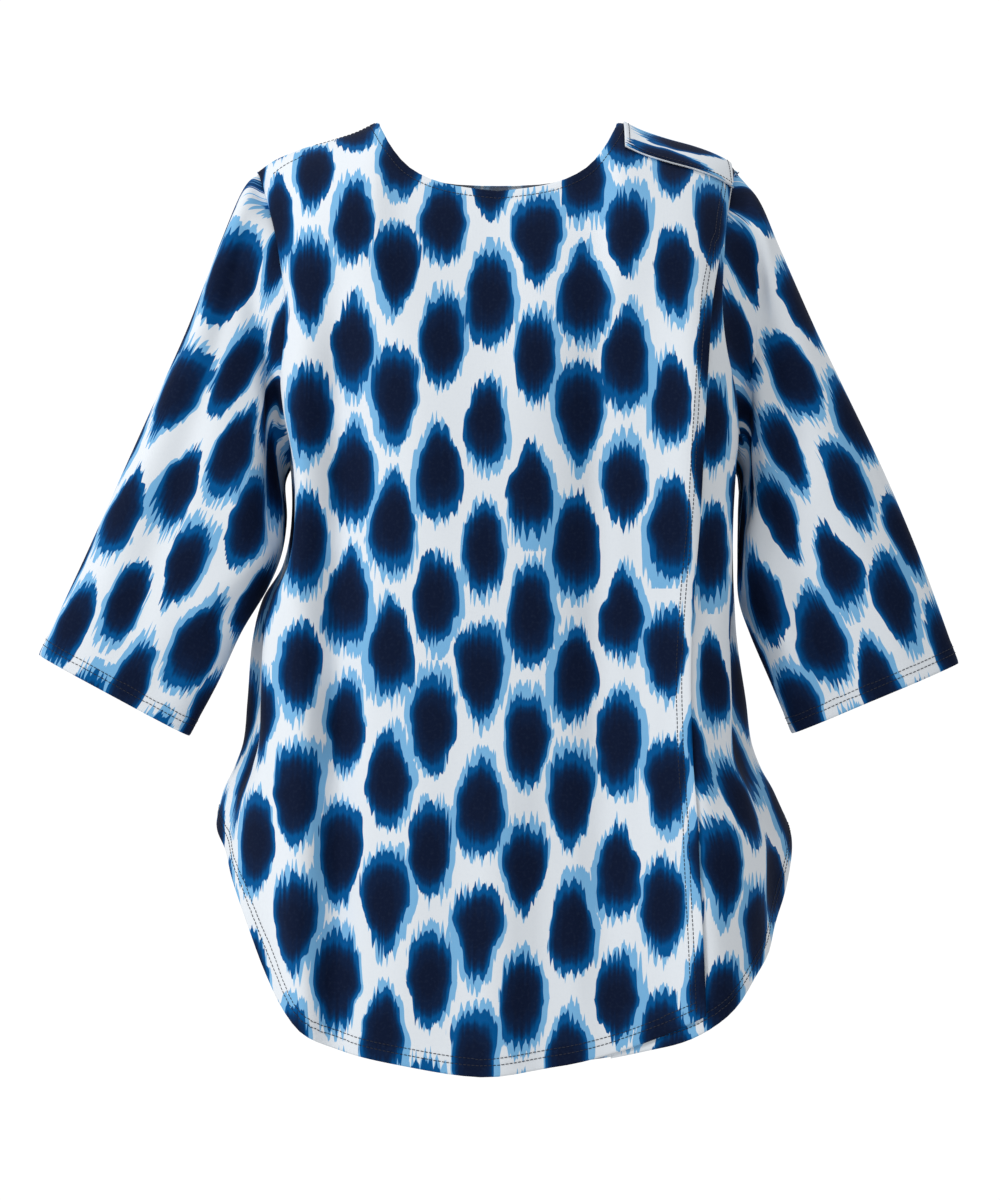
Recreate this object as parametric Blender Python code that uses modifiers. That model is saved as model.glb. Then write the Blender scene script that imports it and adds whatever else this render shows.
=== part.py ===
"""A high-low top with three-quarter sleeves, filled out as when worn, in metres.

+Z is up and the front faces -Y, so the wearer's right is at -X. The origin is midway between
the shoulders, at the height of the middle of the shoulder seams, where the wearer holds it up.
The top opens at the wearer's left shoulder and down that side of the front: the front panel lies
over an underlap panel there, and a flap from the back buttons down over the shoulder.
"""

import math

import bmesh
import bpy
import numpy as np

# Cloth, in metres
WALL = 0.0016  # thickness of the cloth's wall
HALF_GAP = 0.00025  # half the gap at a side seam
RIDGE_HALF_GAP = 0.0007  # and at a shoulder seam, where the walls meet at an angle
LAP_DROP = 0.0028  # how far the underlap lies under the front panel
EDGE_DROP = 0.0022  # and at its own outer edge, where the front still covers it
EDGE_DROP_FULL = 0.3  # the share of the armhole over which that grows from the underarm up
DROP_CHANGE = 0.6  # the share of the underlap's width where the one drop starts to turn to the other
FLAP_WALL = 0.0024  # the shoulder flap is two cloths thick
FLAP_RISE = WALL / 2 + 0.0008 + FLAP_WALL / 2
SLEEVE_RISE = WALL + 0.0007  # the sleeve's head laps the armhole's edge from outside

# Grid
ARM_STEPS = 12  # rows from the underarm to the shoulder, also steps of half an armhole
LOW_STEPS = 12  # rows from the hem to the underarm
SHOULDER_COLUMNS = 10
NECK_COLUMNS = 10
UNDERLAP_COLUMNS = 9
SLEEVE_STEPS = 13
HALVINGS = 40  # steps of a search by halves
NEAR = 0.002  # a surface's direction is taken this far under a point, between points
NEAR_UP = 0.001  # this far above and below there
NEAR_DEGREES = 0.5  # and this far to each side

# Armholes
UNDERARM_Z = -0.245
SHOULDER_Z = -0.0194
ARM_FRONT_RIGHT = 33.0  # how far an armhole reaches from the side line, in degrees round the body
ARM_FRONT_LEFT = 28.0
ARM_BACK = 31.0

# Body
RIDGE_Y = 0.006  # the shoulder seams' place from front to back
SQUARE = 0.20  # 0 is an ellipse round the body, and more is squarer
NECK_X = 0.0935
LAP_TOP = 0.045  # how far the underlap runs under the front panel, at the shoulder and the hem
LAP_HEM = 0.070
EDGE_MARGIN = 0.004  # the front stops this short of the wearer's left armhole

# Height, half-width on the wearer's right and left, and depth in front and behind
BODY = (
    # z, right, left, front, back
    (0.030, 0.187, 0.187, 0.088, 0.082),
    (-0.020, 0.187, 0.187, 0.096, 0.088),
    (-0.060, 0.186, 0.187, 0.103, 0.095),
    (-0.110, 0.184, 0.187, 0.110, 0.101),
    (-0.160, 0.178, 0.186, 0.117, 0.104),
    (-0.205, 0.169, 0.185, 0.121, 0.105),
    (-0.245, 0.161, 0.184, 0.122, 0.104),
    (-0.290, 0.160, 0.182, 0.121, 0.102),
    (-0.325, 0.167, 0.182, 0.119, 0.101),
    (-0.350, 0.182, 0.183, 0.118, 0.101),
    (-0.382, 0.190, 0.185, 0.118, 0.102),
    (-0.429, 0.194, 0.192, 0.119, 0.105),
    (-0.460, 0.197, 0.196, 0.121, 0.108),
    (-0.480, 0.204, 0.203, 0.122, 0.110),
    (-0.500, 0.213, 0.214, 0.123, 0.112),
    (-0.535, 0.219, 0.227, 0.125, 0.116),
    (-0.600, 0.222, 0.229, 0.128, 0.121),
    (-0.740, 0.222, 0.229, 0.132, 0.126),
)

# Height of the shoulder's ridge, by the distance from the middle
SHOULDER = (
    # x, z
    (0.000, 0.0210),
    (0.085, 0.0205),
    (0.0935, 0.0190),
    (0.110, 0.0112),
    (0.130, 0.0045),
    (0.154, -0.0023),
    (0.173, -0.0100),
    (0.187, -0.0194),
)

# How far under the ridge the shoulder's rounding ends, by the distance from the middle
ROUNDING = (
    # x, height
    (0.000, 0.240),
    (0.070, 0.190),
    (0.095, 0.130),
    (0.130, 0.110),
    (0.190, 0.100),
)

# Neckline, by the distance from the middle
NECKLINE = (
    # x, front z, back z
    (0.0000, -0.0406, -0.0245),
    (0.0200, -0.0385, -0.0240),
    (0.0400, -0.0348, -0.0225),
    (0.0560, -0.0289, -0.0185),
    (0.0700, -0.0194, -0.0115),
    (0.0820, -0.0040, 0.0005),
    (0.0890, 0.0099, 0.0110),
    (0.0935, 0.0196, 0.0196),
)

# Hems, by the angle round the body from the middle of the front
FRONT_HEM = (
    # degrees, z
    (-90.0, -0.520),
    (-78.0, -0.529),
    (-70.0, -0.540),
    (-64.0, -0.554),
    (-58.0, -0.571),
    (-52.0, -0.597),
    (-46.0, -0.630),
    (-41.0, -0.656),
    (-36.0, -0.673),
    (-28.0, -0.686),
    (-16.0, -0.697),
    (-3.0, -0.705),
    (8.0, -0.699),
    (18.0, -0.689),
    (28.0, -0.674),
    (38.0, -0.656),
    (60.0, -0.620),
)
UNDERLAP_HEM = (
    # degrees, z
    (16.0, -0.694),
    (24.0, -0.687),
    (32.0, -0.679),
    (40.0, -0.664),
    (46.0, -0.646),
    (52.0, -0.624),
    (60.0, -0.602),
    (70.0, -0.574),
    (78.0, -0.546),
    (90.0, -0.530),
)
BACK_HEM = (
    # degrees, z
    (90.0, -0.530),
    (102.0, -0.544),
    (112.0, -0.562),
    (122.0, -0.596),
    (131.0, -0.640),
    (139.0, -0.682),
    (150.0, -0.708),
    (165.0, -0.722),
    (180.0, -0.728),
    (195.0, -0.722),
    (210.0, -0.706),
    (221.0, -0.680),
    (229.0, -0.636),
    (238.0, -0.588),
    (248.0, -0.554),
    (258.0, -0.532),
    (270.0, -0.520),
)

# The front panel's free edge, from where it leaves the wearer's left armhole to the hem
FREE_EDGE_HEM = 38.0  # its angle at the hem, in degrees
FREE_EDGE = (
    # z, x
    (-0.086, 0.1690),
    (-0.122, 0.1620),
    (-0.145, 0.1595),
    (-0.209, 0.1550),
    (-0.289, 0.1510),
    (-0.335, 0.1475),
    (-0.377, 0.1450),
    (-0.429, 0.1440),
    (-0.506, 0.1470),
    (-0.574, 0.1505),
    (-0.660, 0.1545),
)

# Long soft folds down the body: a ridge stands out of it and a valley runs into it
FOLDS = (
    # degrees at the top and bottom, width, height, from z, full at z, full to z, to z
    (-57.0, -50.0, 8.0, 0.0150, -0.110, -0.220, -0.400, -0.600),
    (-74.0, -66.0, 6.5, -0.0090, -0.260, -0.330, -0.400, -0.640),
    (-38.0, -34.0, 8.0, -0.0050, -0.060, -0.200, -0.600, -0.760),
    (65.0, 61.0, 8.0, 0.0110, -0.120, -0.230, -0.330, -0.480),
    (74.0, 64.0, 6.5, -0.0100, -0.300, -0.390, -0.560, -0.640),
    (44.0, 40.0, 8.0, 0.0050, -0.060, -0.200, -0.600, -0.760),
    (128.0, 124.0, 12.0, 0.0060, -0.160, -0.300, -0.640, -0.760),
    (160.0, 158.0, 12.0, -0.0050, -0.160, -0.300, -0.640, -0.760),
    (205.0, 206.0, 13.0, 0.0060, -0.160, -0.300, -0.640, -0.760),
    (236.0, 240.0, 10.0, -0.0050, -0.160, -0.300, -0.600, -0.700),
)

# Sleeves, from the shoulder to the cuff: the outer and the inner line as seen from the front
RIGHT_SLEEVE = (
    # outer x, outer z, inner x, inner z, depth, middle y
    (-0.1965, -0.033, -0.1648, -0.262, 0.112, -0.004),
    (-0.2150, -0.080, -0.1628, -0.290, 0.104, -0.020),
    (-0.2395, -0.142, -0.1660, -0.317, 0.094, -0.038),
    (-0.2640, -0.196, -0.1765, -0.343, 0.086, -0.044),
    (-0.2910, -0.254, -0.1960, -0.376, 0.076, -0.048),
    (-0.3190, -0.320, -0.2140, -0.415, 0.064, -0.051),
    (-0.3496, -0.3925, -0.2352, -0.4543, 0.046, -0.052),
)
LEFT_SLEEVE = (
    # outer x, outer z, inner x, inner z, depth, middle y
    (0.2005, -0.040, 0.1870, -0.262, 0.112, -0.002),
    (0.2170, -0.080, 0.1855, -0.290, 0.104, -0.014),
    (0.2430, -0.142, 0.1840, -0.320, 0.094, -0.028),
    (0.2680, -0.196, 0.1842, -0.350, 0.086, -0.037),
    (0.2950, -0.254, 0.1925, -0.377, 0.076, -0.043),
    (0.3225, -0.320, 0.2090, -0.416, 0.064, -0.046),
    (0.3512, -0.399, 0.2243, -0.4527, 0.046, -0.048),
)

# The flap over the wearer's left shoulder, from the neck to the sleeve
FLAP_NEAR = 0.0965
FLAP_FAR = 0.1790
FLAP_FRONT = (0.0238, 0.0215)  # how far it hangs under the ridge in front, at the two ends
FLAP_BACK = 0.0025  # how far it hangs under the ridge behind
FLAP_COLUMNS = 14
FLAP_ROWS = 9

CLOTH_COLOUR = (0.78, 0.81, 0.85, 1.0)
FLAP_COLOUR = (0.10, 0.24, 0.45, 1.0)
CLOTH_ROUGHNESS = 0.75


def along(table, at, column=1):
    """A smooth curve through a table's rows, read at a value of its first column."""
    xs = [row[0] for row in table]
    ys = [row[column] for row in table]
    if xs[0] > xs[-1]:
        xs.reverse()
        ys.reverse()
    at = min(max(at, xs[0]), xs[-1])
    i = max(1, min(len(xs) - 1, int(np.searchsorted(xs, at))))
    slopes = [
        (ys[min(k + 1, len(xs) - 1)] - ys[max(k - 1, 0)])
        / (xs[min(k + 1, len(xs) - 1)] - xs[max(k - 1, 0)])
        for k in (i - 1, i)
    ]
    span = xs[i] - xs[i - 1]
    u = (at - xs[i - 1]) / span
    return (
        ys[i - 1] * (1 + 2 * u) * (1 - u) ** 2
        + slopes[0] * span * u * (1 - u) ** 2
        + ys[i] * u * u * (3 - 2 * u)
        - slopes[1] * span * u * u * (1 - u)
    )


def ramp(start, end, at):
    """0 before start and 1 after end, smooth between them."""
    u = min(max((at - start) / (end - start), 0.0), 1.0)
    return u * u * (3 - 2 * u)


def wrapped(degrees):
    """The angle from the middle of the front, from -90 to 270."""
    return (degrees + 90.0) % 360.0 - 90.0


def folds(degrees, z):
    """How far the folds move the cloth out at an angle and a height."""
    rise = 0.0
    for top, bottom, width, height, begins, full, holds, ends in FOLDS:
        middle = top + (bottom - top) * ramp(begins, ends, z)
        strength = ramp(begins, full, z) * (1 - ramp(holds, ends, z))
        rise += height * strength * math.exp(-(((degrees - middle) / width) ** 2))
    return rise


def plan(degrees, z):
    """The body's plain outline at a height: x, y and the outward direction."""
    turn = math.radians(degrees)
    s, c = math.sin(turn), math.cos(turn)
    half = along(BODY, z, 2 if s > 0 else 1)
    depth = along(BODY, z, 3 if c > 0 else 4)
    x = half * s * (1 + SQUARE * c * c)
    y = -depth * c * (1 + SQUARE * s * s)
    out = np.array((s / half, -c / depth))
    return x, y, out / np.linalg.norm(out)


def under_ridge(x, z):
    """How far a point is from the shoulder's ridge towards the plain outline, from 0 to 1."""
    drop = along(SHOULDER, abs(x)) - z
    u = min(max(drop / along(ROUNDING, abs(x)), 0.0), 1.0)
    return math.sqrt(1 - (1 - u) ** 2)


def body(degrees, z, front=True):
    """A point of the cloth round the body."""
    x, y, out = plan(degrees, z)
    move = folds(wrapped(degrees), z)
    share = under_ridge(x, z)
    gap = RIDGE_HALF_GAP + (HALF_GAP - RIDGE_HALF_GAP) * share
    seam = RIDGE_Y * (1 - share) + (-gap if front else gap)
    return np.array((x + move * out[0], seam + (y + move * out[1]) * share, z))


def lifted(degrees, z, rise, front=True):
    """A point moved out of the cloth by rise, square to it."""
    near = z - NEAR
    across = body(degrees + NEAR_DEGREES, near, front) - body(degrees - NEAR_DEGREES, near, front)
    up = body(degrees, near + NEAR_UP, front) - body(degrees, near - NEAR_UP, front)
    out = np.cross(across, up)
    return body(degrees, z, front) + out * rise / np.linalg.norm(out)


def angle_at(x, z):
    """The angle in front at which the body's plain outline is at x."""
    low, high = -90.0, 90.0
    for _ in range(HALVINGS):
        middle = (low + high) / 2
        if body(middle, z)[0] < x:
            low = middle
        else:
            high = middle
    return (low + high) / 2


def armhole(share, side, front):
    """(angle, z) on an armhole's edge: share 0 is the underarm, and 1 the shoulder."""
    turn = math.pi * (1 - share)
    z = (SHOULDER_Z + UNDERARM_Z) / 2 + (SHOULDER_Z - UNDERARM_Z) / 2 * math.cos(turn)
    if front:
        reach = ARM_FRONT_LEFT if side > 0 else ARM_FRONT_RIGHT
    else:
        reach = ARM_BACK
    degrees = 90.0 - reach * math.sin(turn) if front else 90.0 + reach * math.sin(turn)
    return (degrees if side > 0 else -degrees), z


def top_of(degrees, front):
    """The height of the neckline or the shoulder seam at an angle."""
    x = abs(plan(degrees, SHOULDER_Z)[0])
    if x < NECK_X:
        return along(NECKLINE, x, 1 if front else 2)
    return along(SHOULDER, x)


def column(s, first, last, middle):
    """The angle of column s from first to last: two columns stay below the neck points."""
    shoulder = SHOULDER_COLUMNS / (2 * SHOULDER_COLUMNS + NECK_COLUMNS)
    neck = angle_at(NECK_X, SHOULDER_Z)
    if s < shoulder:
        return first + (middle - neck - first) * s / shoulder
    if s > 1 - shoulder:
        return last + (middle + neck - last) * (1 - s) / shoulder
    return middle - neck * math.cos(math.pi * (s - shoulder) / (1 - 2 * shoulder))


def split(t):
    """(share of the way from hem to underarm, share of the way from underarm to shoulder)."""
    row = t * (LOW_STEPS + ARM_STEPS)
    return min(row / LOW_STEPS, 1.0), max(0.0, (row - LOW_STEPS) / ARM_STEPS)


def height(degrees, t, hem, top, front):
    """The height of a row at an angle, in a column whose upper end is at the angle top."""
    low, high = split(t)
    if high <= 0:
        bottom = along(hem, degrees)
        return bottom + (UNDERARM_Z - bottom) * low
    level = armhole(high, 1, front)[1]
    stretch = (top_of(top, front) - UNDERARM_Z) / (SHOULDER_Z - UNDERARM_Z)
    return UNDERARM_Z + (level - UNDERARM_Z) * stretch


def level_of(t, hem_z):
    """The height of a row by the armholes or, lower down, above a hem at hem_z."""
    low, high = split(t)
    if high > 0:
        return armhole(high, 1, True)[1]
    return hem_z + (UNDERARM_Z - hem_z) * low


def free_edge(t):
    """The angle of the front panel's free edge on a row."""
    high = split(t)[1]
    level = level_of(t, along(FRONT_HEM, FREE_EDGE_HEM))
    if level > FREE_EDGE[0][0]:
        degrees, z = armhole(high, 1, True)
        return angle_at(body(degrees, z)[0] - EDGE_MARGIN, z)
    return angle_at(along(FREE_EDGE, level), level)


def front_panel(s, t):
    """From the wearer's right side seam to the free edge."""
    high = split(t)[1]
    first = armhole(high, -1, True)[0] if high > 0 else -90.0
    degrees = column(s, first, free_edge(t), 0.0)
    top = column(s, -90.0, free_edge(1.0), 0.0)
    return body(degrees, height(degrees, t, FRONT_HEM, top, True))


def edge_drop(high):
    """How far the underlap's outer edge lies in, at a share of the armhole."""
    return EDGE_DROP * ramp(0.0, EDGE_DROP_FULL, high)


def lap_edge(level):
    """The angle of the underlap's hidden edge at a height."""
    lap = LAP_TOP + (LAP_HEM - LAP_TOP) * level / FREE_EDGE[-1][0]
    return angle_at(along(FREE_EDGE, level) - lap, level)


def underlap_panel(s, t):
    """From under the front panel's free edge to the wearer's left side seam."""
    high = split(t)[1]
    first = lap_edge(level_of(t, along(UNDERLAP_HEM, FREE_EDGE_HEM)))
    last = armhole(high, 1, True)[0] if high > 0 else 90.0
    degrees = first + (last - first) * s
    top = lap_edge(SHOULDER_Z)
    top += (90.0 - top) * s
    drop = LAP_DROP + (edge_drop(high) - LAP_DROP) * ramp(DROP_CHANGE, 1.0, s)
    return lifted(degrees, height(degrees, t, UNDERLAP_HEM, top, True), -drop)


def back_panel(s, t):
    """From the wearer's left side seam round the back to the right one."""
    high = split(t)[1]
    first = armhole(high, 1, False)[0] if high > 0 else 90.0
    degrees = column(s, first, 360.0 - first, 180.0)
    top = column(s, 90.0, 270.0, 180.0)
    return body(degrees, height(degrees, t, BACK_HEM, top, False), front=False)


def sleeve_ring(row, share):
    """A point of a sleeve's ring: share 0 is its outer line, 0.25 its front."""
    outer_x, outer_z, inner_x, inner_z, depth, middle_y = row
    turn = 2 * math.pi * share
    c, s = math.cos(turn), math.sin(turn)
    across = c * (1 + SQUARE * s * s) / 2
    return np.array(
        (
            (outer_x + inner_x) / 2 + (outer_x - inner_x) * across,
            middle_y - depth / 2 * s * (1 + SQUARE * c * c),
            (outer_z + inner_z) / 2 + (outer_z - inner_z) * across,
        )
    )


def sleeve_head(share, side):
    """A point just outside the armhole's edge, with the shares of sleeve_ring."""
    front = share <= 0.5
    way = 1 - 2 * share if front else 2 * share - 1
    degrees, z = armhole(way, side, front)
    drop = edge_drop(way) if side > 0 and front else 0.0
    return lifted(degrees, z, SLEEVE_RISE - drop, front)


def sleeve(rows, side):
    """A function that places the points of a sleeve."""

    def place(s, t):
        share = (s if side > 0 else 1 - s) % 1.0
        points = [sleeve_head(share, side)]
        points += [sleeve_ring(row, share) for row in rows]
        way = (1 - t) * len(rows)
        return np.array(
            [along([(k, p[axis]) for k, p in enumerate(points)], way) for axis in range(3)]
        )

    return place


def flap(s, t):
    """Over the wearer's left shoulder: t 0 is its edge in front, and 1 its root behind."""
    x = FLAP_NEAR + (FLAP_FAR - FLAP_NEAR) * s
    rounding = along(ROUNDING, x)
    front_drop = FLAP_FRONT[0] + (FLAP_FRONT[1] - FLAP_FRONT[0]) * s
    first = math.acos(1 - front_drop / rounding)
    last = -math.acos(1 - FLAP_BACK / rounding)
    turn = first + (last - first) * t
    z = along(SHOULDER, x) - rounding * (1 - math.cos(turn))
    degrees = angle_at(x, z)
    if turn < 0:
        degrees = 180.0 - degrees
    return lifted(degrees, z, FLAP_RISE, turn >= 0)


def material(name, colour):
    made = bpy.data.materials.new(name)
    made.use_nodes = True
    shader = made.node_tree.nodes["Principled BSDF"]
    shader.inputs["Base Color"].default_value = colour
    shader.inputs["Roughness"].default_value = CLOTH_ROUGHNESS
    shader.inputs["Metallic"].default_value = 0.0
    return made


def cloth(name, columns, rows, place, wall, finish, home, tube=False):
    """A sheet of columns by rows, each point placed by place(s, t), with a wall's thickness."""
    grid = bmesh.new()
    bmesh.ops.create_grid(grid, x_segments=columns, y_segments=rows, size=0.5)
    for point in grid.verts:
        point.co = place(point.co.x + 0.5, point.co.y + 0.5)
    if tube:
        bmesh.ops.remove_doubles(grid, verts=grid.verts, dist=1e-6)
    mesh = bpy.data.meshes.new(name)
    grid.to_mesh(mesh)
    grid.free()
    mesh.materials.append(finish)
    mesh.shade_smooth()
    made = bpy.data.objects.new(name, mesh)
    home.objects.link(made)
    solid = made.modifiers.new("Wall", "SOLIDIFY")
    solid.thickness = wall
    solid.offset = 0.0
    return made


def main():
    for old in list(bpy.data.objects):
        bpy.data.objects.remove(old)
    home = bpy.data.collections.new("high_low_top")
    bpy.context.scene.collection.children.link(home)
    finish = material("printed_cloth", CLOTH_COLOUR)
    flap_finish = material("flap_cloth", FLAP_COLOUR)
    rows = LOW_STEPS + ARM_STEPS
    columns = 2 * SHOULDER_COLUMNS + NECK_COLUMNS
    cloth("front_panel", columns, rows, front_panel, WALL, finish, home)
    cloth("underlap_panel", UNDERLAP_COLUMNS, rows, underlap_panel, WALL, finish, home)
    cloth("back_panel", columns, rows, back_panel, WALL, finish, home)
    around = 2 * ARM_STEPS
    right = sleeve(RIGHT_SLEEVE, -1)
    left = sleeve(LEFT_SLEEVE, 1)
    cloth("sleeve_right", around, SLEEVE_STEPS, right, WALL, finish, home, tube=True)
    cloth("sleeve_left", around, SLEEVE_STEPS, left, WALL, finish, home, tube=True)
    cloth("shoulder_flap", FLAP_COLUMNS, FLAP_ROWS, flap, FLAP_WALL, flap_finish, home)


main()
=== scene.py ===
"""The look of a high-low top in printed jersey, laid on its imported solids, in metres.

+Z is up and the front faces -Y, so the wearer's right is at -X. Each piece of cloth is a thin sheet
on the form of its solid, with its folds, turned edges and rows of stitches.
"""

import math

import bpy
import numpy as np
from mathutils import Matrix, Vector
from mathutils.bvhtree import BVHTree


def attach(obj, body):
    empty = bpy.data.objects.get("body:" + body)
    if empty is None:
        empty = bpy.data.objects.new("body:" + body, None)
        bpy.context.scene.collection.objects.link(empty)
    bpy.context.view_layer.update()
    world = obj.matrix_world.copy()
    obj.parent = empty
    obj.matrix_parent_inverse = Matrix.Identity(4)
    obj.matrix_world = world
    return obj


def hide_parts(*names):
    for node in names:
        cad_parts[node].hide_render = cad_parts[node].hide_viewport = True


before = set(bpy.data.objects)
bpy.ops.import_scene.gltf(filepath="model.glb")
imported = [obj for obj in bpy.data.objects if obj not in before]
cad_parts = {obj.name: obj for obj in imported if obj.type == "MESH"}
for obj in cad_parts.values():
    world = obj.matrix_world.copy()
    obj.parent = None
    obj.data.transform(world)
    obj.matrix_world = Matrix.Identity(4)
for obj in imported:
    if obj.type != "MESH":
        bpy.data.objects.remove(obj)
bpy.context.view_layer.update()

# Cloth
THICKNESS = 0.0009
LAP_DROP = 0.0026  # how far the underlap lies under the front
EDGE_DROP = 0.0020  # and at its own outer edge, where the front still covers it
EDGE_DROP_FULL = 0.3  # the share of the armhole over which that grows from the underarm up
DROP_CHANGE = 0.6  # the share of the underlap's width where the one drop turns to the other
FLAP_RISE = 0.0026
FLAP_THICKNESS = 0.0016
TUCK = 0.0030  # how far a sleeve's head lies under the armhole's edge
TUCK_TOP = 0.0019  # and at the shoulder
TUCK_FADE = 0.8  # the share of the way up from which the one turns to the other
SINK = 0.0015  # how far a seam is drawn in
SINK_WIDTH = 0.0022
SINK_ENDS = (0.995, 0.965)  # between these shares of the way up, the sinking fades out

# Fineness of the sheets
LOW_ROWS = 112  # from the hem to the underarm
ARM_ROWS = 84  # from the underarm to the shoulder
FRONT_COLUMNS = 132
BACK_COLUMNS = 132
UNDERLAP_COLUMNS = 44
SLEEVE_COLUMNS = 120
SLEEVE_ROWS = 110
FLAP_COLUMNS = 60
FLAP_ROWS = 32
NECK_FROM = int(FRONT_COLUMNS * 0.30)  # the column of a panel where its neckline starts
LINE_STEP = 0.0012  # how close the points of a row of stitches lie
CROWD = 0.55  # how much closer the rows and columns lie at the edges, from 0 to 1
HALVINGS = 36  # steps of a search by halves
SECTION_STEPS = 48  # steps of the way round a section
SHOULDER_EASE = 0.4  # the share of the way over the shoulder's rounding that the print follows

# The form, with the sizes of the solids. Only the underlap's hem lies a little lower and the right
# sleeve's outer line a little further in, as in the photo
NEAR = 0.002  # a surface's direction is taken this far under a point
NEAR_UP = 0.001
NEAR_DEGREES = 0.5
UNDERARM_Z = -0.245
SHOULDER_Z = -0.0194
ARM_FRONT_RIGHT = 33.0
ARM_FRONT_LEFT = 28.0
ARM_BACK = 31.0
RIDGE_Y = 0.006
SQUARE = 0.20
NECK_X = 0.0935
CREASE_START = (-0.05, 0.22)  # shares of a crease's way over which it rises
CREASE_END = (0.78, 1.05)  # and over which it runs out
SLEEVE_CREASES_TOP = (1.0, 0.93)  # shares of the way up where a sleeve's creases fade out
SLEEVE_CREASES_CUFF = (-0.1, 0.08)
CREASE_FADE = (0.89, 0.995)  # the sines between which the creases fade out to the side seams
LAP_TOP = 0.045
LAP_HEM = 0.070
EDGE_MARGIN = 0.004
SHOULDER_SHARE = 1 / 3  # the share of a panel's columns below each shoulder seam

# Height, half-width on the wearer's right and left, and depth in front and behind
BODY = (
    # z, right, left, front, back
    (0.03, 0.187, 0.187, 0.088, 0.082),
    (-0.02, 0.187, 0.187, 0.096, 0.088),
    (-0.06, 0.186, 0.187, 0.103, 0.095),
    (-0.11, 0.184, 0.187, 0.11, 0.101),
    (-0.16, 0.178, 0.186, 0.117, 0.104),
    (-0.205, 0.169, 0.185, 0.121, 0.105),
    (-0.245, 0.161, 0.184, 0.122, 0.104),
    (-0.29, 0.16, 0.182, 0.121, 0.102),
    (-0.325, 0.167, 0.182, 0.119, 0.101),
    (-0.35, 0.182, 0.183, 0.118, 0.101),
    (-0.382, 0.19, 0.185, 0.118, 0.102),
    (-0.429, 0.194, 0.192, 0.119, 0.105),
    (-0.46, 0.197, 0.196, 0.121, 0.108),
    (-0.48, 0.204, 0.203, 0.122, 0.11),
    (-0.5, 0.213, 0.214, 0.123, 0.112),
    (-0.535, 0.219, 0.227, 0.125, 0.116),
    (-0.6, 0.222, 0.229, 0.128, 0.121),
    (-0.74, 0.222, 0.229, 0.132, 0.126),
)

# Height of the shoulder's ridge, by the distance from the middle
SHOULDER = (
    # x, z
    (0.000, 0.021),
    (0.085, 0.0205),
    (0.0935, 0.019),
    (0.11, 0.0112),
    (0.13, 0.0045),
    (0.154, -0.0023),
    (0.173, -0.01),
    (0.187, -0.0194),
)

# How far under the ridge the shoulder's rounding ends, by the distance from the middle
ROUNDING = (
    # x, height
    (0.000, 0.24),
    (0.07, 0.19),
    (0.095, 0.13),
    (0.13, 0.11),
    (0.19, 0.1),
)

# Neckline, by the distance from the middle
NECKLINE = (
    # x, front z, back z
    (0.0000, -0.0406, -0.0245),
    (0.02, -0.0385, -0.024),
    (0.04, -0.0348, -0.0225),
    (0.056, -0.0289, -0.0185),
    (0.07, -0.0194, -0.0115),
    (0.082, -0.004, 0.0005),
    (0.089, 0.0099, 0.011),
    (0.0935, 0.0196, 0.0196),
)

# Hems, by the angle round the body from the middle of the front
FRONT_HEM = (
    # degrees, z
    (-90.0, -0.52),
    (-78.0, -0.529),
    (-70.0, -0.54),
    (-64.0, -0.554),
    (-58.0, -0.571),
    (-52.0, -0.597),
    (-46.0, -0.63),
    (-41.0, -0.656),
    (-36.0, -0.673),
    (-28.0, -0.686),
    (-16.0, -0.697),
    (-3.0, -0.705),
    (8.0, -0.699),
    (18.0, -0.689),
    (28.0, -0.674),
    (38.0, -0.656),
    (60.0, -0.62),
)
UNDERLAP_HEM = (
    # degrees, z
    (16.0, -0.694),
    (24.0, -0.687),
    (32.0, -0.679),
    (40.0, -0.664),
    (46.0, -0.65),
    (52.0, -0.632),
    (60.0, -0.613),
    (70.0, -0.584),
    (78.0, -0.553),
    (90.0, -0.53),
)
BACK_HEM = (
    # degrees, z
    (90.0, -0.53),
    (102.0, -0.544),
    (112.0, -0.562),
    (122.0, -0.596),
    (131.0, -0.64),
    (139.0, -0.682),
    (150.0, -0.708),
    (165.0, -0.722),
    (180.0, -0.728),
    (195.0, -0.722),
    (210.0, -0.706),
    (221.0, -0.68),
    (229.0, -0.636),
    (238.0, -0.588),
    (248.0, -0.554),
    (258.0, -0.532),
    (270.0, -0.52),
)

# The front's free edge, from where it leaves the wearer's left armhole to the hem
FREE_EDGE_HEM = 38.0
FREE_EDGE = (
    # z, x
    (-0.086, 0.169),
    (-0.122, 0.162),
    (-0.145, 0.1595),
    (-0.209, 0.155),
    (-0.289, 0.151),
    (-0.335, 0.1475),
    (-0.377, 0.145),
    (-0.429, 0.144),
    (-0.506, 0.147),
    (-0.574, 0.1505),
    (-0.66, 0.1545),
)

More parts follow.
